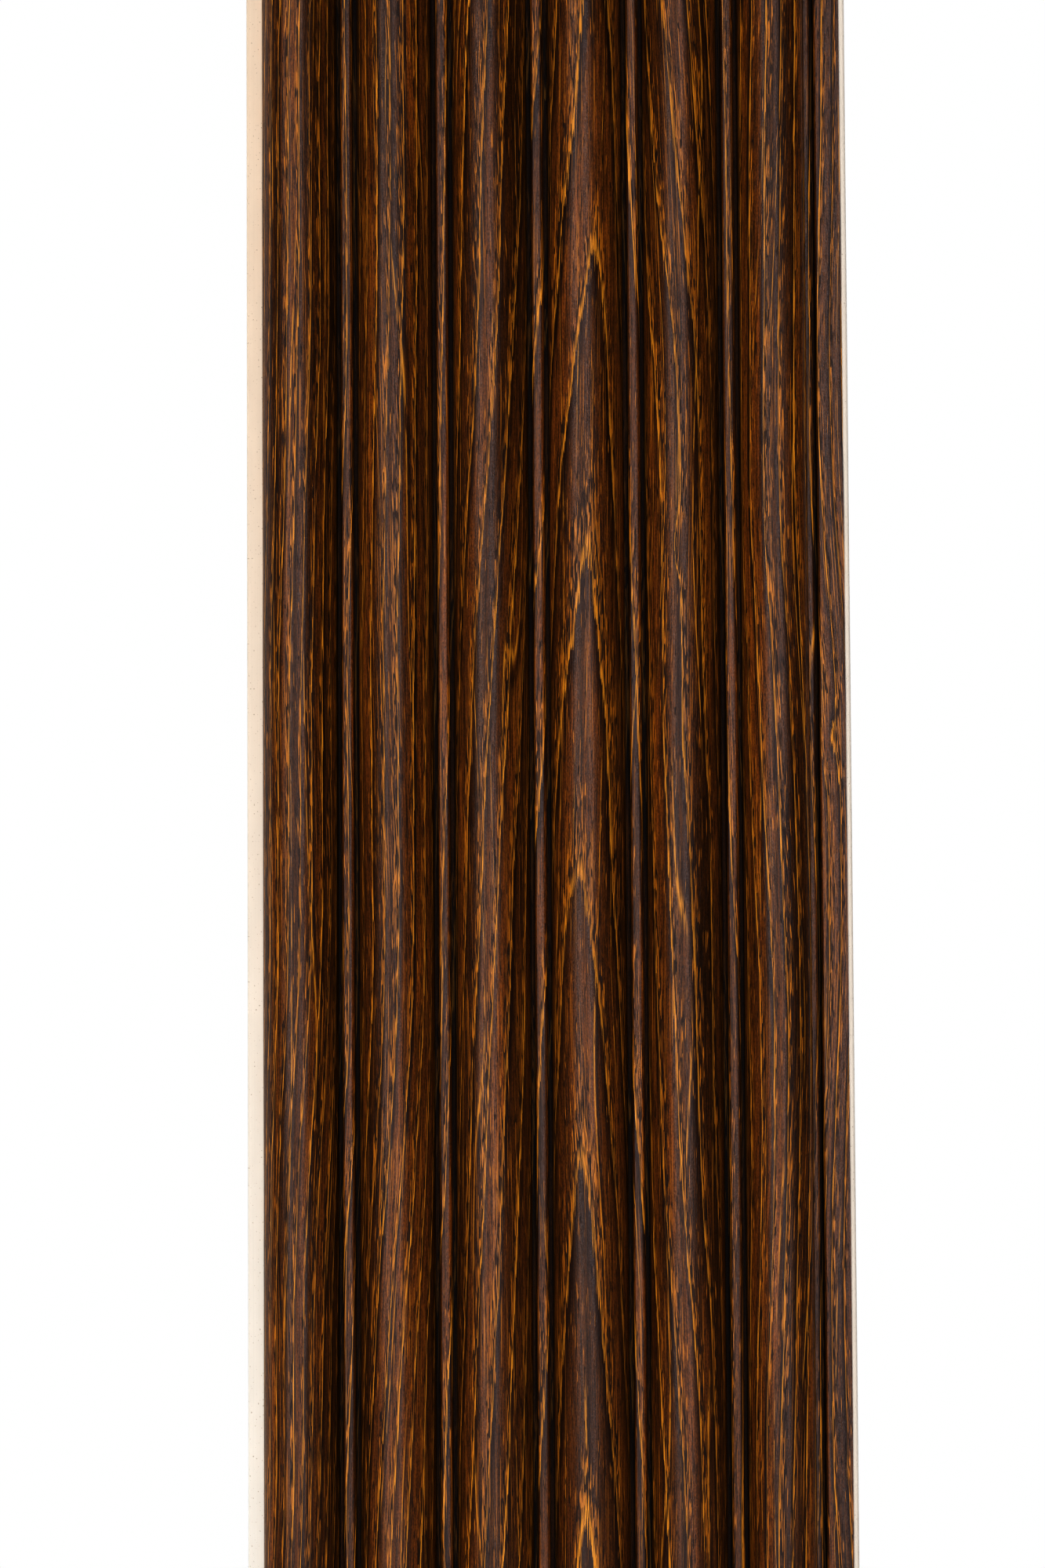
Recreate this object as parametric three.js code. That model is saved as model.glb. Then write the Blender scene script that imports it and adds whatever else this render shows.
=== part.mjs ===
// A length of fluted wall panel: six half-round reeds with narrow flat beads between them, run out of one
// foamed plastic section and faced with a thin wood-grain film. A bare tongue runs along the left edge and
// a flat lip along the right one, which laps over the tongue of the next panel.
//
// Millimetres. +Z runs up the panel's length, +X across it from the tongue to the lip, and the face looks
// along -Y. The back lies in the plane y = 0, and the origin is in the middle of the back.
import * as THREE from "three";

// Length and flutes
const PANEL_LENGTH = 340;
const REED_COUNT = 6;
const REED_WIDTH = 15.7;
const REED_HEIGHT = 7.4;
const REED_WALL = 1.4;
const BEAD_WIDTH = 2.6;
const BEAD_HEIGHT = 3.8;
const BEAD_CORNER = 0.7;
const GROOVE_WIDTH = 0.85;
const FLOOR_THICKNESS = 3.2;

// The small ledge that stands at the foot of the last reed, inside the line where the others end
const LEDGE_SETBACK = 1.85;
const LEDGE_WIDTH = 1.3;
const LEDGE_HEIGHT = 4.8;
const LEDGE_CORNER = 0.4;
const LEDGE_SHOULDER = 0.8;

// Tongue on the left edge, and the lip that laps over the next panel's tongue
const TONGUE_REACH = 3.4;
const TONGUE_STEP = 0.2;
const TONGUE_CORNER = 0.4;
const TONGUE_END_GAP = 0.8;
const TONGUE_FACE_GAP = 0.4;
const LIP_ROOT = 2.4;
const LIP_CORNER = 0.5;

// Film over the face, trimmed just above the tongue and a little short of the lip's outer edge
const FILM_THICKNESS = 0.3;
const FILM_FOOT = 0.1;
const FILM_MARGIN = 1.1;

// Shallow channels for glue along the back, an even number so that the middle of the back stays flat
const CHANNEL_COUNT = 6;
const CHANNEL_WIDTH = 6;
const CHANNEL_DEPTH = 0.8;

// Straight steps that a half-round reed and a rounded corner are drawn with
const REED_STEPS = 28;
const CORNER_STEPS = 4;

// Worked out from the sizes above. Across the panel they are counted from the foot of the first reed.
const pitch = REED_WIDTH + BEAD_WIDTH + 2 * GROOVE_WIDTH;
const lastReedFoot = (REED_COUNT - 1) * pitch + REED_WIDTH;
const tongueThickness = FLOOR_THICKNESS - TONGUE_STEP;
const rebateWidth = TONGUE_REACH + TONGUE_END_GAP;
const rebateHeight = tongueThickness + TONGUE_FACE_GAP;
const ledgeFoot = lastReedFoot - LEDGE_SETBACK + LEDGE_WIDTH;
const lipStart = ledgeFoot + GROOVE_WIDTH;
const lipEnd = lipStart + LIP_ROOT + rebateWidth;
const filmStart = tongueThickness + FILM_FOOT;
const filmEnd = lipEnd - FILM_MARGIN;
const middle = (lipEnd - TONGUE_REACH) / 2;

// A point of the cross-section: how far across from the foot of the first reed, and how far off the back.
function at(across, height) {
  return new THREE.Vector2(across - middle, -height);
}

// An outside corner at (across, height), rounded by an arc. side is -1 where the outline comes up a left
// wall into it, and 1 where it turns down a right wall.
function roundedCorner(across, height, radius, side) {
  if (radius <= 0) {
    return [at(across, height)];
  }
  const points = [];
  for (let step = 0; step <= CORNER_STEPS; step += 1) {
    const share = step / CORNER_STEPS;
    const turn = (Math.PI / 2) * (side < 0 ? 1 - share : share);
    const x = across - side * radius * (1 - Math.sin(turn));
    const y = height - radius * (1 - Math.cos(turn));
    points.push(at(x, y));
  }
  return points;
}

// A flat-topped strip that stands on the groove floor: up its left wall, over its top, down its right wall.
function strip(left, right, floor, rise, corner) {
  const radius = Math.min(corner, (right - left) / 2, rise);
  return [
    at(left, floor),
    ...roundedCorner(left, floor + rise, radius, -1),
    ...roundedCorner(right, floor + rise, radius, 1),
    at(right, floor),
  ];
}

// How high a reed stands above the groove floor at `inside` its foot: an upright wall, then a half-round.
function reedRise(inside, halfWidth) {
  return REED_WALL + REED_HEIGHT * Math.sin(Math.acos(1 - inside / halfWidth));
}

// The half-round of a reed, from the top of its left wall over the crown to `cut` short of its right wall.
function reed(left, right, floor, cut) {
  const centre = (left + right) / 2;
  const halfWidth = (right - left) / 2;
  const spring = floor + REED_WALL;
  const lastTurn = Math.PI - Math.acos(1 - cut / halfWidth);
  const points = [];
  for (let step = 0; step <= REED_STEPS; step += 1) {
    const turn = (lastTurn * step) / REED_STEPS;
    points.push(at(centre - halfWidth * Math.cos(turn), spring + REED_HEIGHT * Math.sin(turn)));
  }
  return points;
}

// The foot of the last reed: its flank turns over a soft shoulder into an upright wall, down to the ledge.
function ledge(left, right, floor, corner) {
  const halfWidth = (right - left) / 2;
  const wall = right - LEDGE_SETBACK;
  const ledgeTop = floor + LEDGE_HEIGHT;
  const flankHeight = floor + reedRise(LEDGE_SETBACK + LEDGE_SHOULDER, halfWidth);
  const edgeHeight = floor + reedRise(LEDGE_SETBACK, halfWidth);
  const drop = Math.min(LEDGE_SHOULDER, (edgeHeight - ledgeTop) / 2);
  const shoulder = new THREE.QuadraticBezierCurve(
    at(wall - LEDGE_SHOULDER, flankHeight),
    at(wall, edgeHeight),
    at(wall, edgeHeight - drop),
  );
  const radius = Math.min(corner, LEDGE_WIDTH, LEDGE_HEIGHT);
  return [
    ...shoulder.getPoints(CORNER_STEPS).slice(1),
    at(wall, ledgeTop),
    ...roundedCorner(wall + LEDGE_WIDTH, ledgeTop, radius, 1),
    at(wall + LEDGE_WIDTH, floor),
  ];
}

// The face from the first reed's foot to the end of the film, set back into the material by `inset`.
// The film lies between the face with no inset and the face set back by its thickness.
function face(inset) {
  const floor = FLOOR_THICKNESS - inset;
  const points = [];
  for (let i = 0; i < REED_COUNT; i += 1) {
    const left = i * pitch + inset;
    const right = i * pitch + REED_WIDTH - inset;
    if (i > 0) {
      points.push(at(left, floor));
    }
    if (i < REED_COUNT - 1) {
      const beadLeft = i * pitch + REED_WIDTH + GROOVE_WIDTH;
      points.push(...reed(left, right, floor, 0));
      points.push(at(right, floor));
      points.push(
        ...strip(beadLeft + inset, beadLeft + BEAD_WIDTH - inset, floor, BEAD_HEIGHT, BEAD_CORNER - inset),
      );
    } else {
      points.push(...reed(left, right, floor, LEDGE_SETBACK + LEDGE_SHOULDER));
      points.push(...ledge(left, right, floor, LEDGE_CORNER - inset));
    }
  }
  const lipTop = floor + BEAD_HEIGHT;
  points.push(at(lipStart + inset, floor));
  points.push(...roundedCorner(lipStart + inset, lipTop, BEAD_CORNER - inset, -1));
  points.push(at(filmEnd, lipTop));
  return points;
}

// The back from the rebate under the lip to the tongue, with its glue channels, drawn from right to left.
function back() {
  const left = -TONGUE_REACH;
  const right = lipEnd - rebateWidth;
  const cell = (right - left) / CHANNEL_COUNT;
  const points = [at(right, 0)];
  for (let i = CHANNEL_COUNT - 1; i >= 0; i -= 1) {
    const channelLeft = left + (i + 0.5) * cell - CHANNEL_WIDTH / 2;
    const channelRight = channelLeft + CHANNEL_WIDTH;
    points.push(at(channelRight, 0));
    points.push(at(channelRight, CHANNEL_DEPTH));
    points.push(at(channelLeft, CHANNEL_DEPTH));
    points.push(at(channelLeft, 0));
  }
  points.push(at(left, 0));
  return points;
}

// The foamed core: tongue, face under the film, bare edge of the lip, rebate and back.
function coreOutline() {
  const lipTop = FLOOR_THICKNESS - FILM_THICKNESS + BEAD_HEIGHT;
  return [
    ...roundedCorner(-TONGUE_REACH, tongueThickness, TONGUE_CORNER, -1),
    at(0, tongueThickness),
    at(0, filmStart),
    at(FILM_THICKNESS, filmStart),
    ...face(FILM_THICKNESS),
    ...roundedCorner(lipEnd, lipTop, LIP_CORNER, 1),
    at(lipEnd, rebateHeight),
    at(lipEnd - rebateWidth, rebateHeight),
    ...back(),
  ];
}

// The film: its outer face, and back along the face of the core.
function filmOutline() {
  const outer = [at(0, filmStart), ...face(0)];
  const inner = [at(FILM_THICKNESS, filmStart), ...face(FILM_THICKNESS)];
  return [...outer, ...inner.reverse()];
}

// A piece of the panel's full length, cut square at both ends.
function extruded(name, outline, material) {
  const shape = new THREE.Shape(outline);
  const geometry = new THREE.ExtrudeGeometry(shape, { depth: PANEL_LENGTH, bevelEnabled: false });
  geometry.translate(0, 0, -PANEL_LENGTH / 2);
  const mesh = new THREE.Mesh(geometry, material);
  mesh.name = name;
  return mesh;
}

const foam = new THREE.MeshStandardMaterial({ color: 0xeadcc4, roughness: 0.7, metalness: 0 });
const woodFilm = new THREE.MeshStandardMaterial({ color: 0x5a3420, roughness: 0.45, metalness: 0 });

const panel = new THREE.Group();
panel.add(extruded("core", coreOutline(), foam));
panel.add(extruded("wood_film", filmOutline(), woodFilm));

export default panel;
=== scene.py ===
# %% [markdown]
# Fluted wall panel, dressed over its construction model
#
# The real panel is one long strip of foamed plastic, pushed hot through a die that gives it six half-round
# reeds with a narrow bead between each two. A thin printed film with a dark wood grain is then rolled onto
# its face. The construction model already holds both pieces at their true size, so this script never guesses
# a dimension: it reads the section of each piece from that model and works outwards from there.

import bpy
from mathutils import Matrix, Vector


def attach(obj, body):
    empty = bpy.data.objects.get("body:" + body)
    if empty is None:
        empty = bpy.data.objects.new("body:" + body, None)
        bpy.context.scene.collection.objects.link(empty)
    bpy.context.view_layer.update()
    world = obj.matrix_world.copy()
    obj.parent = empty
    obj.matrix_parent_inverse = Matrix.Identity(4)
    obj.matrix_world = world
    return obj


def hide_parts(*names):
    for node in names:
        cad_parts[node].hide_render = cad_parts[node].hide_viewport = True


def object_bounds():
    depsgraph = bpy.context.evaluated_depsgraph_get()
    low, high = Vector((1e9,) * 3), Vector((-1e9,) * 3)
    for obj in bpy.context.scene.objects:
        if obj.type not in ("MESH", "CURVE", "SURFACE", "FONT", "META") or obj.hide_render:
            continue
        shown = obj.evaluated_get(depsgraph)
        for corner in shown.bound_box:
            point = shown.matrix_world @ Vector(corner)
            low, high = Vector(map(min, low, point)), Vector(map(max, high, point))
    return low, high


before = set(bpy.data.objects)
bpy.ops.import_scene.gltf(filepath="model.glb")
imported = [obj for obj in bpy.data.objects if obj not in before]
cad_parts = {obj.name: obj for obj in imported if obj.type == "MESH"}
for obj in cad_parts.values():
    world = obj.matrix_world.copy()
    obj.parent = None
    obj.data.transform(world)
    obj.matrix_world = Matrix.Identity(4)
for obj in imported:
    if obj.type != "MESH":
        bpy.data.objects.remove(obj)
cad_box = [list(corner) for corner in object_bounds()]
print("construction nodes:", sorted(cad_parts))
print("box in metres:", cad_box)

# %% Modules and the unit that the sizes are written in
import math
from collections import namedtuple

import bmesh
import bpy
from mathutils import Matrix, Vector

MM = 0.001
scene = bpy.context.scene
length = cad_box[1][2] - cad_box[0][2]
print("panel length:", round(length / MM, 1), "mm")

# %% [markdown]
# The camera
#
# The picture is an upright one, taken nearly square on to the face with a long lens. The camera stands a
# little below the middle of the panel and looks up by three degrees, so that the sides spread slightly
# towards the bottom. The sensor's width is laid along the long side of the picture, as Blender does by
# itself for an upright format.

# %% Camera at the viewing angle of the photograph
CAMERA_PLACE = Vector((-5.48, -775.73, -41.25)) * MM
CAMERA_PITCH = math.radians(3.074)
CAMERA_ROLL = math.radians(-0.303)
CAMERA_LENS = 85


def make_camera(place, pitch, roll, lens):
    """A camera that looks along +Y, tipped up by pitch and rolled about its own axis."""
    forward = Vector((0, math.cos(pitch), math.sin(pitch)))
    level_right = Vector((1, 0, 0))
    level_up = level_right.cross(forward)
    right = math.cos(roll) * level_right + math.sin(roll) * level_up
    up = math.cos(roll) * level_up - math.sin(roll) * level_right
    turn = Matrix((right, up, -forward)).transposed().to_4x4()
    data = bpy.data.cameras.new("camera")
    data.lens = lens
    data.clip_start = 10 * MM
    data.clip_end = 20
    camera = bpy.data.objects.new("camera", data)
    camera.matrix_world = Matrix.Translation(place) @ turn
    scene.collection.objects.link(camera)
    scene.camera = camera
    return camera


camera = make_camera(CAMERA_PLACE, CAMERA_PITCH, CAMERA_ROLL, CAMERA_LENS)
print("camera at", [round(value / MM) for value in camera.matrix_world.translation], "mm")

# %% [markdown]
# Node maths written as Python
#
# A wood grain is a sum of many small formulas, and a tree of Math nodes soon becomes hard to read. The class
# below wraps one output socket and overloads the operators, so that `1 - mask * 0.5` adds the nodes by
# itself. The same nodes exist in shader trees and in Geometry Nodes, so one formula can colour the film and
# also press its relief into the mesh.

# %% A socket that can be added, multiplied and so on
class Link:
    """The output of a node. Arithmetic on it adds Math nodes to its tree."""

    def __init__(self, graph, socket):
        self.graph = graph
        self.socket = socket

    def __add__(self, other):
        return self.graph.math("ADD", self, other)

    def __radd__(self, other):
        return self.graph.math("ADD", other, self)

    def __sub__(self, other):
        return self.graph.math("SUBTRACT", self, other)

    def __rsub__(self, other):
        return self.graph.math("SUBTRACT", other, self)

    def __mul__(self, other):
        return self.graph.math("MULTIPLY", self, other)

    def __rmul__(self, other):
        return self.graph.math("MULTIPLY", other, self)

    def __truediv__(self, other):
        return self.graph.math("DIVIDE", self, other)


print("Link ready: it overloads +, -, * and /")

# %% A node tree that is filled from formulas
SEED_STEP = 7.31
CHANCE_STEP = 17.3

# A pattern of noise: how wide and how long its blots are, in millimetres, its seed, how much fine detail it
# has, and between which two levels of the noise its marks fade in.
Pattern = namedtuple("Pattern", "size seed detail limits", defaults=(0.0, (0.0, 1.0)))


class Graph:
    """A node tree, and short ways to add nodes to it."""

    def __init__(self, tree):
        self.tree = tree

    def node(self, kind, values=None, output=0, **settings):
        """Adds a node: its settings first, then the values or links of its inputs. Returns one output."""
        node = self.tree.nodes.new(kind)
        for name, value in settings.items():
            setattr(node, name, value)
        for key, value in (values or {}).items():
            self.put(node.inputs[key], value)
        return Link(self, node.outputs[output])

    def put(self, socket, value):
        """Links a socket, or gives it a plain value. A colour is written with its three parts."""
        if isinstance(value, Link):
            self.tree.links.new(value.socket, socket)
        elif socket.type == "RGBA":
            socket.default_value = (*value, 1)
        else:
            socket.default_value = value

    def math(self, operation, *values):
        """One Math node, with its values in order."""
        return self.node("ShaderNodeMath", dict(enumerate(values)), operation=operation)

    def vector(self, x, y, z):
        """Three numbers as one vector."""
        return self.node("ShaderNodeCombineXYZ", {"X": x, "Y": y, "Z": z})

    def noise(self, spot, pattern):
        """Smooth noise between 0 and 1. spot is where a point lies, across and along."""
        x, y = (place / size for place, size in zip(spot, pattern.size))
        place = self.vector(x, y, pattern.seed * SEED_STEP)
        return self.node("ShaderNodeTexNoise", {"Vector": place, "Scale": 1.0, "Detail": pattern.detail})

    def wobble(self, spot, pattern):
        """The same noise, spread evenly about zero."""
        return self.noise(spot, pattern) - 0.5

    def marks(self, spot, pattern, more=None):
        """Marks where the noise is high: 0 below the pattern's first limit, 1 above its second."""
        level = self.noise(spot, pattern)
        if more is not None:
            level = level + more
        return self.rise(level, *pattern.limits)

    def chance(self, number, seed):
        """A random value between 0 and 1 for each whole number."""
        values = {"W": number + seed * CHANCE_STEP}
        return self.node("ShaderNodeTexWhiteNoise", values, noise_dimensions="1D")

    def rise(self, value, low, high):
        """0 below low, 1 above high, and a soft slope between them."""
        values = {"Value": value, "From Min": low, "From Max": high}
        return self.node("ShaderNodeMapRange", values, interpolation_type="SMOOTHSTEP")

    def bell(self, value, middle, width):
        """1 at the middle, falling off smoothly to both sides."""
        away = (value - middle) / width
        return self.math("EXPONENT", away * away * -1.0)

    def mix(self, share, first, second):
        """The first colour where share is 0, the second where it is 1."""
        values = {0: share, 6: first, 7: second}
        return self.node("ShaderNodeMix", values, output=2, data_type="RGBA")

    def scaled(self, colour, factor):
        """A colour made lighter or darker by a number."""
        values = {0: colour, "Scale": factor}
        return self.node("ShaderNodeVectorMath", values, operation="SCALE")


print("node classes ready")

# %% [markdown]
# The section of each piece
#
# Both pieces keep one section from end to end. The construction model draws it with short straight steps, as
# a faceted solid does. Here the outline is read from the upper end of each solid and drawn again with finer
# steps: between two true corners the points are joined by smooth curves, and the corners stay sharp. The
# points of the construction model all stay where they are, so the finished piece keeps its size.

# %% Read a closed outline from the end of a solid
SAME_PLACE = 0.001 * MM
WALL_SLANT = 0.5


def end_outline(node):
    """The outline of a CAD node's upper end, as (x, y) points in order."""
    bm = bmesh.new()
    bm.from_mesh(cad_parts[node].data)
    bmesh.ops.remove_doubles(bm, verts=bm.verts, dist=SAME_PLACE)
    top = max(vertex.co.z for vertex in bm.verts)
    neighbours = {}
    for edge in bm.edges:
        at_top = all(top - vertex.co.z < SAME_PLACE for vertex in edge.verts)
        beside_wall = any(abs(face.normal.z) < WALL_SLANT for face in edge.link_faces)
        if at_top and beside_wall:
            one, other = edge.verts
            neighbours.setdefault(one, []).append(other)
            neighbours.setdefault(other, []).append(one)
    vertex = min(neighbours, key=lambda v: (round(v.co.x / MM, 3), -v.co.y))
    before = None
    loop = []
    while vertex not in loop:
        loop.append(vertex)
        step = [other for other in neighbours[vertex] if other is not before]
        before, vertex = vertex, min(step, key=lambda v: v.co.y if len(loop) == 1 else 0)
    points = [Vector((v.co.x, v.co.y)) for v in loop]
    bm.free()
    return points


film_outline = end_outline("wood_film")
core_outline = end_outline("core")
print("film outline:", len(film_outline), "points; core outline:", len(core_outline), "points")

# %% Draw an outline again with finer steps and smooth curves
CORNER_ANGLE = math.radians(33)


def turn_at(path, i):
    """How far the path turns at point i."""
    return (path[i] - path[i - 1]).angle(path[i + 1] - path[i])


def mirrored(direction, tangent):
    """The tangent at the free end of a round stretch: the one at its other end, mirrored in the chord."""
    return (2 * direction.dot(tangent) * direction - tangent).normalized()


def redraw(path, step):
    """The path with points about a step apart, smooth between its corners. The last point is left off."""
    last = len(path) - 1
    low = [min(p[axis] for p in path) for axis in (0, 1)]
    high = [max(p[axis] for p in path) for axis in (0, 1)]
    corner = [i in (0, last) or turn_at(path, i) > CORNER_ANGLE for i in range(last + 1)]
    drawn = []
    for i in range(last):
        start, end = path[i], path[i + 1]
        span = (end - start).length
        direction = (end - start).normalized()
        leave = direction if corner[i] else (end - path[i - 1]).normalized()
        arrive = direction if corner[i + 1] else (path[i + 2] - start).normalized()
        if corner[i] and not corner[i + 1]:
            leave = mirrored(direction, arrive)
        if corner[i + 1] and not corner[i]:
            arrive = mirrored(direction, leave)
        count = max(1, round(span / step))
        for k in range(count):
            t = k / count
            point = (
                (2 * t**3 - 3 * t**2 + 1) * start + (3 * t**2 - 2 * t**3) * end
                + (t**3 - 2 * t**2 + t) * span * leave + (t**3 - t**2) * span * arrive
            )
            drawn.append(Vector(min(max(point[axis], low[axis]), high[axis]) for axis in (0, 1)))
    return drawn


print("turns under", round(math.degrees(CORNER_ANGLE)), "degrees are drawn as smooth curves")

# %% Take the hard edge off the corners that a die would round
EDGE_ROUNDING = 0.25 * MM
ROUNDING_STEPS = 3


def rounded(path, radius, wanted):
    """The path with the corners that `wanted` picks cut back to a small arc."""
    result = [path[0]]
    for i in range(1, len(path) - 1):
        point = path[i]
        if turn_at(path, i) < CORNER_ANGLE or not wanted(point):
            result.append(point)
            continue
        start = point + (path[i - 1] - point).normalized() * radius
        end = point + (path[i + 1] - point).normalized() * radius
        for k in range(ROUNDING_STEPS + 1):
            t = k / ROUNDING_STEPS
            result.append((1 - t) ** 2 * start + 2 * t * (1 - t) * point + t**2 * end)
    return result + [path[-1]]


print("bare corners are rounded over", EDGE_ROUNDING / MM, "mm")

# %% The outlines as wire loops, ready to be swept
FACE_STEP = 0.36 * MM
PLAIN_STEP = 1.6 * MM
TRIM_REACH = 1.2 * MM
SAME_FACE = 0.01 * MM


def lengths_along(points):
    """How far each point lies along the path."""
    along = [0.0]
    for one, other in zip(points, points[1:]):
        along.append(along[-1] + (other - one).length)
    return along


def wire_loop(name, points, across, trim):
    """A closed loop of edges. Points carry their place across the film and their share of the trim."""
    mesh = bpy.data.meshes.new(name)
    count = len(points)
    mesh.from_pydata([(p.x, p.y, 0) for p in points], [(i, (i + 1) % count) for i in range(count)], [])
    for attribute, values in (("across", across), ("trim", trim)):
        mesh.attributes.new(attribute, "FLOAT", "POINT").data.foreach_set("value", values)
    obj = bpy.data.objects.new(name, mesh)
    scene.collection.objects.link(obj)
    return obj


def film_loop():
    """The film's loop: its face from the tongue to the lip in fine steps, and back along the core."""
    far = max(range(len(film_outline)), key=lambda i: (round(film_outline[i].x / MM, 3), -film_outline[i].y))
    face = redraw(film_outline[: far + 1], FACE_STEP)
    inside = redraw(film_outline[far:] + film_outline[:1], PLAIN_STEP)
    points = face + inside
    across = [place / MM for place in lengths_along(points)]
    edge = max(p.x for p in points)
    trim = [max(0.0, 1 - (edge - p.x) / TRIM_REACH) for p in points]
    print("film: face", len(face), "points over", round(across[len(face)], 1), "mm, inside", len(inside))
    places = [(p.x / MM, place) for p, place in zip(face, across)]
    return wire_loop("wood_film_dressed", points, across, trim), places


def core_loop():
    """The core's loop, with its bare corners rounded. The corners under the film stay as they are."""
    edge = max(p.x for p in film_outline)
    front = min(p.y for p in core_outline[:3])
    closed = core_outline + core_outline[:1]
    path = rounded(closed, EDGE_ROUNDING, lambda p: p.y > front - SAME_FACE or p.x > edge)
    points = redraw(path, PLAIN_STEP)
    print("core:", len(points), "points")
    return wire_loop("core_dressed", points, [0.0] * len(points), [0.0] * len(points))


film, face_places = film_loop()
core = core_loop()


def across_at(x):
    """How far across the film a point lies that is seen x millimetres from the panel's middle."""
    return min(face_places, key=lambda pair: abs(pair[0] - x))[1]


print("the middle of the panel lies", round(across_at(0), 1), "mm across the film")

# %% [markdown]
# The wood grain as a formula
#
# The film is printed with the face of a sawn board. A saw that cuts a log lengthwise meets the yearly rings
# as nested arches over the heart and as nearly straight lines beside it. Two terms give that. The number of
# the ring goes up with the distance to either side of the heart line, and it goes up slowly along the board.
# Close to the heart the first term is flat, so lines of equal number close into long arches there. Slow
# noise bends the whole board, quicker noise makes each line tremble, and a few bumps push the rings aside
# round small knots. A knot is written as its place across and along, its width, its height and its push.

# %% Rings of the board, in millimetres across and along the film
HEART_ACROSS = across_at(7.2)
HEART_LEAN = 2.0 / 170
HEART_WIDTH = 1.6
HEART_REACH = 75.0
RINGS_ASIDE = 0.155
RINGS_CROWDING = 0.00125
RINGS_UP = 0.0150
RINGS_UP_FAR = 0.0035
DRIFT = Pattern((40.0, 120.0), 1)
DRIFT_REACH = 8.0
TREMBLE = Pattern((12.0, 75.0), 2, 1.0)
TREMBLE_REACH = 0.7
KNOTS = (
    (across_at(27.8), 49.0, 2.0, 5.0, 0.55),
    (across_at(40.6), 25.0, 2.4, 7.0, -0.5),
    (across_at(58.2), 9.0, 1.8, 7.0, 0.6),
)


def growth_rings(graph, across, along):
    """The ring number at a point, and a coordinate across the fibre, which runs nearly straight."""
    fibre = across + graph.wobble((across, along), DRIFT) * DRIFT_REACH
    aside = fibre - along * HEART_LEAN - HEART_ACROSS
    spread = graph.math("SQRT", aside * aside + HEART_WIDTH**2)
    rise_along = graph.bell(aside, 0.0, HEART_REACH) * (RINGS_UP - RINGS_UP_FAR) + RINGS_UP_FAR
    rings = spread * RINGS_ASIDE + spread * spread * RINGS_CROWDING + along * rise_along
    rings = rings + graph.wobble((across, along), TREMBLE) * TREMBLE_REACH
    for knot_across, knot_along, width, height, push in KNOTS:
        bump = graph.bell(across, knot_across, width) * graph.bell(along, knot_along, height)
        rings = rings + bump * push
    return rings, fibre


print("the heart of the board lies", round(HEART_ACROSS, 1), "mm across the film; knots:", len(KNOTS))

# %% [markdown]
# Sweeping the section
#
# A length of moulding follows the simplest of rules, so Geometry Nodes make it: the section is a profile, a
# straight line is the path, and Curve to Mesh runs one along the other and closes both ends. An extrusion
# would give the same walls, but not the rows of points along the length that the relief needs. The film of
# the real panel is pressed by a patterned roller, which leaves the porous start of each ring a few
# hundredths of a millimetre lower. A knife trims it along the lip in a line that wanders. Both are made
# here, in the mesh.

# %% A tree that sweeps a section, presses relief and closes the ends
def tree_inputs(tree, names):
    """Gives a new Geometry Nodes tree its inputs and its one output."""
    for name, kind in names:
        tree.interface.new_socket(name, in_out="INPUT", socket_type=kind)
    tree.interface.new_socket("Geometry", in_out="OUTPUT", socket_type="NodeSocketGeometry")


SWEEP_INPUTS = (
    ("Section", "NodeSocketGeometry"),
    ("Length", "NodeSocketFloat"),
    ("Rows", "NodeSocketInt"),
    ("Relief", "NodeSocketFloat"),
    ("Trim Wander", "NodeSocketFloat"),
    ("Side Material", "NodeSocketMaterial"),
    ("End Material", "NodeSocketMaterial"),
)


def swept_walls(graph, given):
    """The section run along a straight line, with both ends closed."""
    half = given["Length"] * 0.5
    line = graph.node(
        "GeometryNodeCurvePrimitiveLine",
        {"Start": graph.vector(0.0, 0.0, half * -1.0), "End": graph.vector(0.0, 0.0, half)},
    )
    rows = graph.node("GeometryNodeResampleCurve", {"Curve": line, "Count": given["Rows"]})
    profile = graph.node("GeometryNodeMeshToCurve", {"Mesh": given["Section"]})
    return graph.node(
        "GeometryNodeCurveToMesh",
        {"Curve": rows, "Profile Curve": profile, "Fill Caps": True},
    )


EARLY_WOOD = (0.3, 0.75)
EARLY_PRESS = 0.65
EMBOSSING = Pattern((1.1, 14.0), 5)
RECEDE = 0.12
RECEDE_FROM = (30.0, 140.0)
NICKS = Pattern((9.0, 1.0), 8, 2.0)
NICK_DEPTH = 0.16


def pressed(graph, walls, given):
    """The walls with the grain's relief pressed in and the trimmed edge set to and fro."""
    place = graph.node("GeometryNodeInputPosition")
    along = graph.node("ShaderNodeSeparateXYZ", {0: place}, output="Z") / MM
    across = graph.node("GeometryNodeInputNamedAttribute", {"Name": "across"}, data_type="FLOAT")
    trim = graph.node("GeometryNodeInputNamedAttribute", {"Name": "trim"}, data_type="FLOAT")
    rings, fibre = growth_rings(graph, across, along)
    phase = graph.math("FRACT", rings)
    early = 1 - graph.rise(phase, *EARLY_WOOD)
    embossing = graph.noise((fibre, along), EMBOSSING)
    depth = (early * EARLY_PRESS + embossing * (1 - EARLY_PRESS)) * given["Relief"]
    normal = graph.node("GeometryNodeInputNormal")
    parts = [graph.node("ShaderNodeSeparateXYZ", {0: normal}, output=axis) for axis in ("X", "Y")]
    recede = graph.rise(along, *RECEDE_FROM) * RECEDE
    nicks = graph.wobble((along, 0.0), NICKS) * NICK_DEPTH
    wander = (nicks - recede) * trim * given["Trim Wander"]
    offset = graph.vector(parts[0] * depth * -1.0 + wander, parts[1] * depth * -1.0, 0.0)
    return graph.node("GeometryNodeSetPosition", {"Geometry": walls, "Offset": offset})


END_SLANT = 0.9


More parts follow.
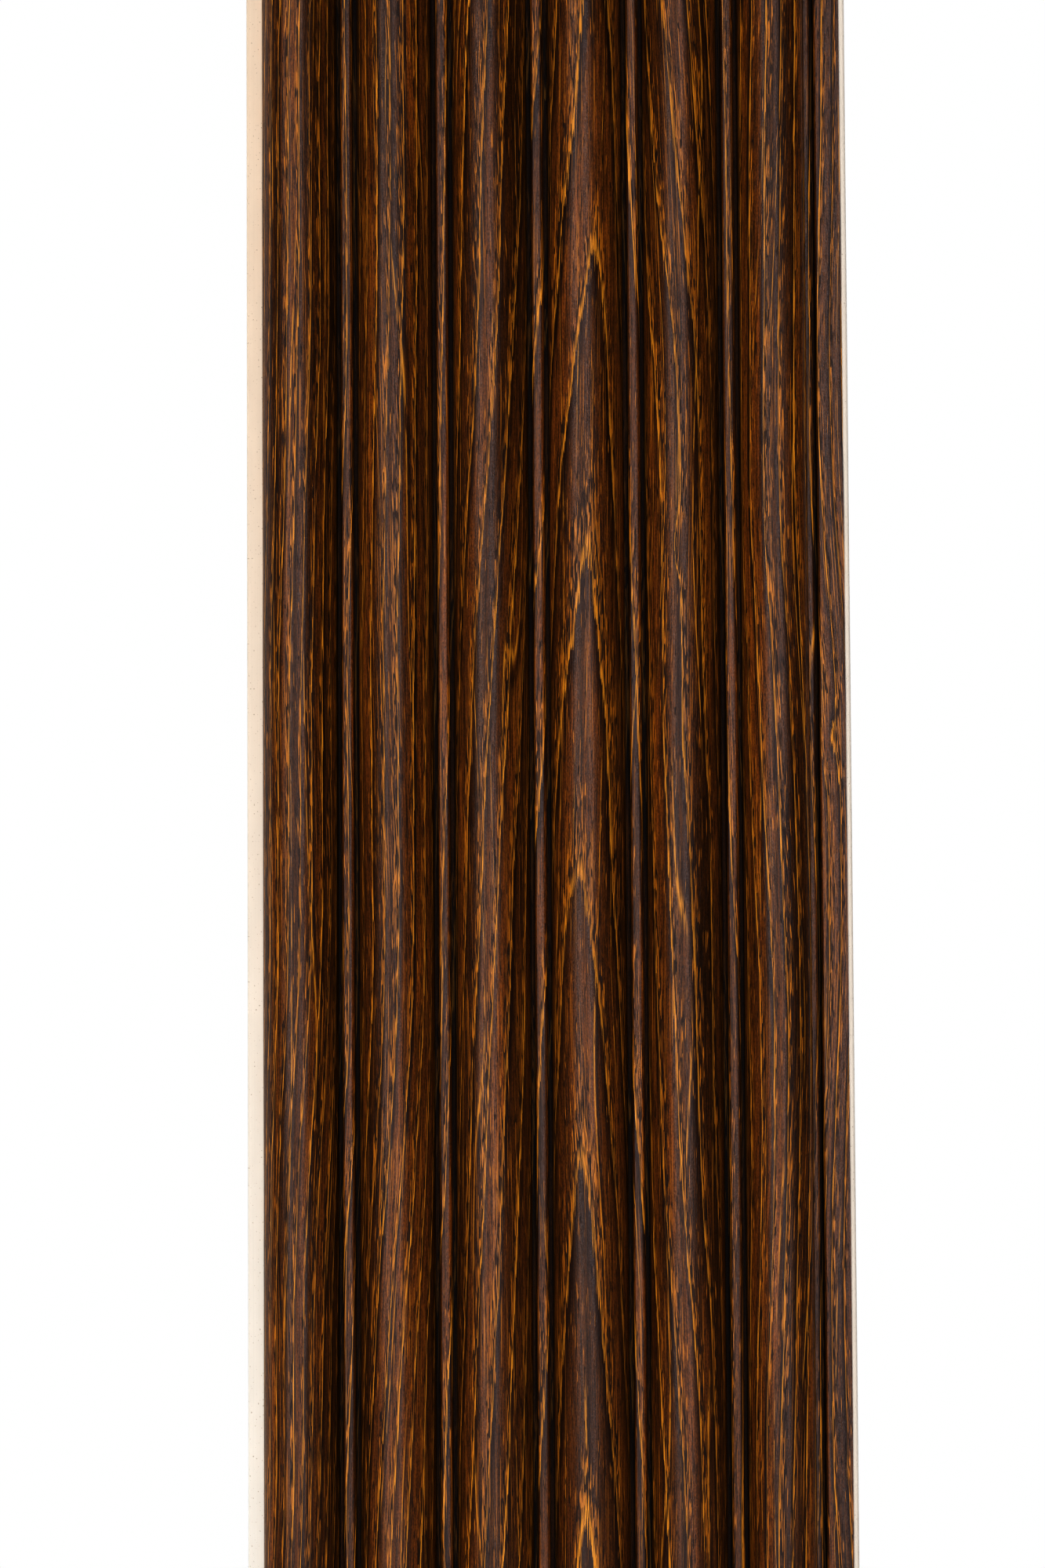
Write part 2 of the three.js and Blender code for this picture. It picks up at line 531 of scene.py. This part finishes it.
def sweep_tree():
    """The whole tree: sweep, press, give the sides and the cut ends their materials."""
    tree = bpy.data.node_groups.new("sweep a section", "GeometryNodeTree")
    tree_inputs(tree, SWEEP_INPUTS)
    graph = Graph(tree)
    group = tree.nodes.new("NodeGroupInput")
    given = {name: Link(graph, group.outputs[name]) for name, kind in SWEEP_INPUTS}
    body = pressed(graph, swept_walls(graph, given), given)
    body = graph.node("GeometryNodeSetMaterial", {"Geometry": body, "Material": given["Side Material"]})
    normal = graph.node("ShaderNodeSeparateXYZ", {0: graph.node("GeometryNodeInputNormal")}, output="Z")
    upright = {"A": graph.math("ABSOLUTE", normal), "B": END_SLANT}
    at_end = graph.node("FunctionNodeCompare", upright, data_type="FLOAT", operation="GREATER_THAN")
    whole = graph.node("GeometryNodeRealizeInstances", {"Geometry": body})
    ends = {"Geometry": whole, "Selection": at_end, "Material": given["End Material"]}
    done = graph.node("GeometryNodeSetMaterial", ends)
    output = tree.nodes.new("NodeGroupOutput")
    tree.links.new(done.socket, output.inputs["Geometry"])
    return tree


sweep = sweep_tree()
print("sweep tree:", len(sweep.nodes), "nodes")

# %% Run the tree on a loop and keep the result as a plain mesh
SMOOTH_ANGLE = math.radians(33)


def grown(obj, tree, values):
    """Puts the tree on an object, reads its result back as a plain mesh and takes the tree off again."""
    modifier = obj.modifiers.new("sweep", "NODES")
    modifier.node_group = tree
    for item in tree.interface.items_tree:
        if item.in_out == "INPUT" and item.name in values:
            modifier[item.identifier] = values[item.name]
    depsgraph = bpy.context.evaluated_depsgraph_get()
    mesh = bpy.data.meshes.new_from_object(obj.evaluated_get(depsgraph), depsgraph=depsgraph)
    obj.modifiers.remove(modifier)
    obj.data = mesh
    bm = bmesh.new()
    bm.from_mesh(mesh)
    bmesh.ops.recalc_face_normals(bm, faces=bm.faces)
    bm.to_mesh(mesh)
    open_edges = sum(not edge.is_manifold for edge in bm.edges)
    bm.free()
    mesh.shade_smooth()
    mesh.set_sharp_from_angle(angle=SMOOTH_ANGLE)
    mesh.calc_loop_triangles()
    print(obj.name, "has", len(mesh.loop_triangles), "triangles,", open_edges, "open edges")
    return obj


print("edges sharper than", round(math.degrees(SMOOTH_ANGLE)), "degrees stay hard")

# %% [markdown]
# The printed film
#
# A ring starts with a broken bright orange line and a field of open pores, short black and orange dashes
# side by side. It goes on as brown summer wood and ends in a line that is nearly black. Long orange threads
# and pairs of a bright and a dark strand run over the rings in patches. The grooves get painted shade: the
# film is coloured darker low in them, and it is duller there. Over it all lies a satin lacquer with a very
# fine grain of its own, which catches a pale haze along the crowns. An image of real wood would be quicker,
# but it would repeat and blur. Every part here is a formula, so the dashes stay crisp at any size.

# %% Colours of the film
BROWN = (0.153, 0.0528, 0.0074)
DEEP = (0.026, 0.0078, 0.0026)
PORE = (0.017, 0.0058, 0.0024)
ORANGE = (0.660, 0.275, 0.024)
FLAME = (0.850, 0.410, 0.042)
print("the brown of the film, red to blue:", BROWN)

# %% Patterns of the film: the size of each mark, its seed, its detail and its limits
RAGGED = Pattern((0.20, 22.0), 11, 1.0)
HAIR = Pattern((0.18, 10.0), 12, 2.0)
CLOUD = Pattern((2.4, 110.0), 13, 2.0)
PORES = Pattern((0.16, 3.4), 14, 0.0, (0.69, 0.74))
DASHES = Pattern((0.17, 6.0), 15, 0.0, (0.74, 0.80))
LINE_GAPS = Pattern((0.3, 16.0), 16, 1.0, (0.28, 0.40))
SCRATCHES = Pattern((0.20, 15.0), 17, 1.0, (0.55, 0.64))
SPECKLE = Pattern((0.20, 0.5), 18, 1.0)
STRAND_BENDS = Pattern((8.0, 110.0), 19)
STRAND_PATCHES = Pattern((6.0, 60.0), 20, 1.0, (0.44, 0.56))
STRAND_GAPS = Pattern((0.25, 9.0), 25, 1.0, (0.36, 0.50))
THREADS = Pattern((0.20, 32.0), 26, 0.0, (0.66, 0.74))
LACQUER_PITS = Pattern((0.2, 3.4), 27, 0.0, (0.62, 0.74))
THREAD_PATCHES = Pattern((6.0, 110.0), 28, 0.0, (0.38, 0.56))
print("pattern of the pores:", PORES.size, "mm; of the threads:", THREADS.size, "mm")

# %% Helpers for materials
def material(name):
    """A new material, its graph and its shader."""
    made = bpy.data.materials.new(name)
    made.use_nodes = True
    graph = Graph(made.node_tree)
    return made, graph, made.node_tree.nodes["Principled BSDF"]


def plug(graph, shader, values):
    """Sets or links the shader's sockets."""
    for name, value in values.items():
        graph.put(shader.inputs[name], value)


def object_place(graph, axis):
    """Where a point lies along one axis of the object, in millimetres."""
    spot = graph.node("ShaderNodeTexCoord", output="Object")
    return graph.node("ShaderNodeSeparateXYZ", {0: spot}, output=axis) / MM


def bumped(graph, height):
    """The surface's direction over a fine relief, whose height is in millimetres."""
    return graph.node("ShaderNodeBump", {"Height": height * MM, "Distance": 1.0, "Strength": 1.0})


print("material helpers ready")

# %% The parts of the film's grain
RAGGED_REACH = 0.22
RING_START = 0.04
RING_LINE = (0.03, 0.08)
RING_LINE_FULL = 0.95
HAIR_DEPTH = 2.2
SPECKLE_DEPTH = 1.6
CLOUD_DEPTH = 1.9
SCRATCH_DEPTH = 0.6
DARKEST = 0.06
STRAND_PITCH = 4.4
STRAND_BEND = 2.2


def ring_traits(graph, rings):
    """Chance gives each ring its share of open pores, its bright line, its shade and its dark edge."""
    ring = graph.math("FLOOR", rings)
    return {
        "phase": graph.math("FRACT", rings),
        "pores": graph.chance(ring, 1) * 0.40 + 0.25,
        "line": graph.chance(ring, 2) * 0.8 + 0.45,
        "shade": graph.chance(ring, 3) * 0.8 + 0.60,
        "edge": graph.chance(ring, 4) * 0.6 + 0.40,
    }


def brown_shade(graph, here, ring, hair):
    """How light the brown is. It differs from ring to ring, with hairs, specks, clouds and scratches."""
    fine = 1 + hair * HAIR_DEPTH + graph.wobble(here, SPECKLE) * SPECKLE_DEPTH
    clouds = 1 + graph.wobble(here, CLOUD) * CLOUD_DEPTH
    scratched = 1 - graph.marks(here, SCRATCHES) * SCRATCH_DEPTH
    return graph.math("MAXIMUM", ring["shade"] * fine * clouds * scratched, DARKEST)


def ring_line(graph, here, ring):
    """The broken bright line that a ring starts with."""
    start = 1 - graph.rise(ring["phase"], *RING_LINE)
    return graph.math("MINIMUM", start * graph.marks(here, LINE_GAPS) * ring["line"], RING_LINE_FULL)


def strands(graph, across, here):
    """Long strands that run in pairs, a bright one beside a dark one. They come in patches."""
    fibre, along = here
    turn = graph.math("FRACT", fibre / STRAND_PITCH + graph.noise(here, STRAND_BENDS) * STRAND_BEND)
    patches = graph.marks((across, along), STRAND_PATCHES)
    bright = graph.bell(turn, 0.50, 0.024) * patches * graph.marks(here, STRAND_GAPS)
    dark = graph.bell(turn, 0.58, 0.045) * patches
    return bright, dark


print("about one pair of strands to every", STRAND_PITCH, "mm across the fibre")

# %% The film's grain, layer over layer
PORES_EARLY = 0.24
DASHES_EARLY = 0.29
THREADS_EARLY = 0.12
RING_END = (0.70, 0.92)
# Painted shade in the grooves: below these heights the film is coloured darker and made duller, except near
# the tongue.
GROOVE_HEIGHTS = (4.1, 6.7)
PAINTED_SHADE_ACROSS = (3.0, 8.0)
PAINTED_SHADE_DEPTH = 0.65
GROOVE_DULLNESS = 3.0


def film_colour(graph, across, along, height):
    """The film's colour with painted shade in the grooves, and how dull it is: pores are, and so are the
    grooves.
    """
    rings, fibre = growth_rings(graph, across, along)
    here = (fibre, along)
    ring = ring_traits(graph, rings + graph.wobble(here, RAGGED) * RAGGED_REACH)
    early = 1 - graph.rise(ring["phase"], RING_START, ring["pores"] + 0.06)
    hair = graph.wobble(here, HAIR)
    dark_end = graph.rise(ring["phase"] + hair * 0.4, *RING_END) * ring["edge"]
    bright_strand, dark_strand = strands(graph, across, here)
    pores = graph.marks(here, PORES, early * PORES_EARLY)
    dashes = graph.marks(here, DASHES, early * DASHES_EARLY)
    patches = graph.marks((across, along), THREAD_PATCHES)
    threads = graph.marks(here, THREADS, early * THREADS_EARLY) * patches
    colour = graph.scaled(BROWN, brown_shade(graph, here, ring, hair))
    layers = (
        (dark_end, DEEP),
        (dark_strand * 0.8, DEEP),
        (bright_strand * 0.8, FLAME),
        (threads * 0.65, ORANGE),
        (dashes * 0.85, ORANGE),
        (pores * 0.92, PORE),
        (ring_line(graph, here, ring), FLAME),
    )
    for share, paint in layers:
        colour = graph.mix(share, colour, paint)
    # Painted shade: the film is coloured darker low in the grooves, where shade falls, and its roughness
    # goes up there.
    painted_groove_shade = (1 - graph.rise(height, *GROOVE_HEIGHTS)) * graph.rise(across, *PAINTED_SHADE_ACROSS)
    dull = graph.math("MAXIMUM", pores, painted_groove_shade * GROOVE_DULLNESS)
    return graph.scaled(colour, 1 - painted_groove_shade * PAINTED_SHADE_DEPTH), dull


# The film is darkened by painted shade below this height.
print("painted shade darkens the film below", GROOVE_HEIGHTS[1], "mm over the back")

# %% The film's material
LACQUER_SCALE = 2.8
LACQUER_STRETCH = 0.8
LACQUER_RELIEF = 0.024
LACQUER_PIT_DEPTH = 0.010
LACQUER_ROUGHNESS = 0.36


def wood_film_material():
    """Satin printed film: colour from the grain, dull pores, and a fine grain in the lacquer."""
    made, graph, shader = material("wood grain film")
    across = graph.node("ShaderNodeAttribute", output="Fac", attribute_name="across")
    along = object_place(graph, "Z")
    colour, dull = film_colour(graph, across, along, object_place(graph, "Y") * -1.0)
    spot = graph.vector(across, along * LACQUER_STRETCH, 0.0)
    grain = graph.node("ShaderNodeTexNoise", {"Vector": spot, "Scale": LACQUER_SCALE, "Detail": 2.0})
    pits = graph.marks((across, along), LACQUER_PITS)
    plug(graph, shader, {
        "Base Color": colour,
        "Roughness": LACQUER_ROUGHNESS + dull * 0.14 + (grain - 0.5) * 0.30,
        "Normal": bumped(graph, grain * LACQUER_RELIEF - pits * LACQUER_PIT_DEPTH),
        "IOR": 1.5,
        "Specular IOR Level": 0.56,
        "Specular Tint": (1.0, 0.90, 0.92),
    })
    return made


film_face = wood_film_material()
print("film face:", len(film_face.node_tree.nodes), "nodes")

# %% The film's cut edge
def film_edge_material():
    """The thickness of the film, which shows at the cut ends: plain dark brown plastic, torn by the saw."""
    made, graph, shader = material("film cut edge")
    spot = graph.node("ShaderNodeTexCoord", output="Object")
    torn = graph.node("ShaderNodeTexNoise", {"Vector": spot, "Scale": 2500.0, "Detail": 2.0})
    plug(graph, shader, {
        "Base Color": graph.mix(torn, (0.05, 0.024, 0.013), (0.16, 0.085, 0.05)),
        "Roughness": 0.6 + torn * 0.2,
    })
    return made


film_cut = film_edge_material()
print("film cut edge:", len(film_cut.node_tree.nodes), "nodes")

# %% [markdown]
# The foam
#
# Where no film covers it the core shows as cream foamed plastic. The die leaves a closed, slightly silky
# skin with faint lines along the length and a few specks. A saw opens the ends, so they show the foam's
# cells and the curved marks of the blade. That is why the core has two materials.

# %% The foam's skin and its sawn ends
CREAM_WARM = (0.840, 0.715, 0.590)
CREAM_PALE = (0.885, 0.850, 0.795)
SPECK = (0.42, 0.33, 0.24)
CELL_SHADE = (0.62, 0.51, 0.39)
CELL_WALL = (0.86, 0.76, 0.62)
DIE_LINES = Pattern((0.25, 60.0), 21, 1.0)
FOAM_CLOUDS = Pattern((6.0, 18.0), 22, 2.0)
FOAM_SPECKS = Pattern((0.35, 0.45), 23, 0.0, (0.76, 0.82))
FOAM_PITS = Pattern((0.22, 0.3), 24, 1.0)
SAW_TREMBLE = Pattern((4.0, 4.0), 31)
# Painted light: along this span the tongue's cream turns paler towards the lower end.
PAINTED_LIGHT_ALONG = (-190.0, 170.0)
TONGUE_HEIGHTS = (1.0, 2.8)
TONGUE_PLACES = (50.0, 58.0)
WARM_ELSEWHERE = 0.4
SAW_CENTRE = 130.0
SAW_MARKS = 5.5


def foam_skin_material():
    """Extruded skin: cream, with die lines along the length, soft clouds and sparse specks.
    On the tongue, painted light makes the cream paler towards the lower end.
    """
    made, graph, shader = material("foam skin")
    x, y, along = (object_place(graph, axis) for axis in "XYZ")
    here = (x + y, along)
    lines = graph.wobble(here, DIE_LINES)
    clouds = graph.wobble(here, FOAM_CLOUDS)
    specks = graph.marks(here, FOAM_SPECKS)
    pits = graph.noise(here, FOAM_PITS)
    # Painted light: on the tongue the cream is coloured paler towards the lower end, where more light falls.
    painted_light_fade = graph.rise(along, *PAINTED_LIGHT_ALONG)
    on_tongue = graph.rise(y * -1.0, *TONGUE_HEIGHTS) * graph.rise(x * -1.0, *TONGUE_PLACES)
    colour = graph.mix(painted_light_fade * on_tongue + (1 - on_tongue) * WARM_ELSEWHERE, CREAM_PALE, CREAM_WARM)
    colour = graph.scaled(colour, 1 - clouds * 0.10 - lines * 0.06)
    plug(graph, shader, {
        "Base Color": graph.mix(specks * 0.5, colour, SPECK),
        "Roughness": 0.52 + pits * 0.12,
        "Normal": bumped(graph, lines * 0.006 + pits * 0.006 - specks * 0.01),
    })
    return made


def foam_cut_material():
    """Sawn foam: open cells, and the arcs that the blade leaves."""
    made, graph, shader = material("foam sawn end")
    spot = graph.node("ShaderNodeTexCoord", output="Object")
    cells = graph.node("ShaderNodeTexVoronoi", {"Vector": spot, "Scale": 2600.0}, output="Distance")
    x, y = (object_place(graph, axis) for axis in "XY")
    reach = graph.math("SQRT", x * x + (y + SAW_CENTRE) * (y + SAW_CENTRE))
    saw = graph.math("SINE", reach * SAW_MARKS + graph.noise((x, y), SAW_TREMBLE) * 3.0)
    # Painted shade: the hollow of each open cell is coloured darker than its walls.
    plug(graph, shader, {
        "Base Color": graph.mix(graph.rise(cells, 0.1, 0.55), CELL_SHADE, CELL_WALL),
        "Roughness": 0.85,
        "Normal": bumped(graph, cells * 0.05 + saw * 0.008),
    })
    return made


foam_skin = foam_skin_material()
foam_cut = foam_cut_material()
print("materials:", [m.name for m in (film_face, film_cut, foam_skin, foam_cut)])

# %% Sweep both pieces
FILM_ROWS = 100
CORE_ROWS = 40
RELIEF = 0.06 * MM

grown(film, sweep, {
    "Length": length,
    "Rows": FILM_ROWS,
    "Relief": RELIEF,
    "Trim Wander": MM,
    "Side Material": film_face,
    "End Material": film_cut,
})
grown(core, sweep, {
    "Length": length,
    "Rows": CORE_ROWS,
    "Relief": 0.0,
    "Trim Wander": 0.0,
    "Side Material": foam_skin,
    "End Material": foam_cut,
})

# %% Tie the pieces to the construction model
for piece, node, slot in ((film, "wood_film", "wood_film"), (core, "core", "foam")):
    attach(piece, "root")
    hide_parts(node)
print("film and core ride on the root body")

# %% [markdown]
# Light and floor
#
# The photograph is a product shot on pure white. One tall softbox stands about thirty degrees to the left,
# so the right flanks of the reeds and the grooves fall into deep shade. A weaker one beside the camera lays
# the pale haze on the crowns. The surroundings are white only to the camera. For light they are bright at
# the sides and behind and dim in front, since white walls in front would fill the grooves with light. A
# finished product picture also has more contrast than a plain one, and the view's gamma gives that here.

# %% Softboxes, surroundings and view
# Each softbox: its name, place, width and height in metres, power in watts and colour.
SOFTBOXES = (
    ("key softbox", (-0.92, -1.60, 0.05), (0.50, 1.60), 18.0, (1.0, 0.985, 0.96)),
    ("softbox by the camera", (0.07, -1.60, 0.05), (0.36, 1.60), 14.0, (0.98, 0.985, 1.0)),
)
LIGHT_TARGET = (0, 0, -0.02)
WORLD_IN_FRONT = 0.008
WORLD_BESIDE = 1.3
WORLD_TURNS = (-0.05, 0.10)
WORLD_BEHIND = (0.40, 0.85)
WORLD_FADE_BEHIND = 0.42


def softbox(name, place, size, power, colour):
    """A rectangular area light, aimed at the panel, that the camera doesn't see."""
    data = bpy.data.lights.new(name, "AREA")
    data.shape = "RECTANGLE"
    data.size, data.size_y = size
    data.energy = power
    data.color = colour
    lamp = bpy.data.objects.new(name, data)
    lamp.location = place
    lamp.rotation_euler = (Vector(LIGHT_TARGET) - Vector(place)).to_track_quat("-Z", "Y").to_euler()
    lamp.visible_camera = False
    scene.collection.objects.link(lamp)
    print(name, "of", power, "W,", round((Vector(LIGHT_TARGET) - Vector(place)).length, 2), "m away")
    return lamp


def surroundings():
    """A world that the camera sees as white. It lights the object from the sides and hardly in front."""
    world = bpy.data.worlds.new("studio")
    world.use_nodes = True
    scene.world = world
    graph = Graph(world.node_tree)
    background = world.node_tree.nodes["Background"]
    toward = graph.node("ShaderNodeTexCoord", output="Generated")
    away = graph.node("ShaderNodeSeparateXYZ", {0: toward}, output="Y")
    share = graph.rise(away, *WORLD_TURNS) * (1 - graph.rise(away, *WORLD_BEHIND) * WORLD_FADE_BEHIND)
    light = share * (WORLD_BESIDE - WORLD_IN_FRONT) + WORLD_IN_FRONT
    seen = graph.node("ShaderNodeLightPath", output="Is Camera Ray")
    background.inputs["Color"].default_value = (1, 1, 1, 1)
    graph.put(background.inputs["Strength"], seen + (1 - seen) * light)


for values in SOFTBOXES:
    softbox(*values)
surroundings()
scene.view_settings.view_transform = "Standard"
scene.view_settings.look = "None"
scene.view_settings.gamma = 0.6

# %% Floor
FLOOR_DROP = 0.28
FLOOR_RADIUS = 1.5


def make_floor():
    """A round pale floor under the panel."""
    bm = bmesh.new()
    drop = Matrix.Translation((0, 0, cad_box[0][2] - FLOOR_DROP))
    bmesh.ops.create_circle(bm, cap_ends=True, segments=96, radius=FLOOR_RADIUS, matrix=drop)
    mesh = bpy.data.meshes.new("floor")
    bm.to_mesh(mesh)
    bm.free()
    made, graph, shader = material("pale floor")
    spot = graph.node("ShaderNodeTexCoord", output="Object")
    soft = graph.node("ShaderNodeTexNoise", {"Vector": spot, "Scale": 3.0, "Detail": 2.0})
    plug(graph, shader, {
        "Base Color": graph.mix(soft, (0.86, 0.86, 0.85), (0.90, 0.90, 0.89)),
        "Roughness": 0.9,
    })
    mesh.materials.append(made)
    floor = bpy.data.objects.new("floor", mesh)
    scene.collection.objects.link(floor)
    return floor


floor = make_floor()
print("floor", round(FLOOR_DROP / MM), "mm under the panel's lower end")

# %% [markdown]
# Last step
#
# The dressed pieces are meant to stay inside the box of the construction model. The last step brings the
# scene up to date.

# %% Bring the scene up to date
bpy.context.view_layer.update()
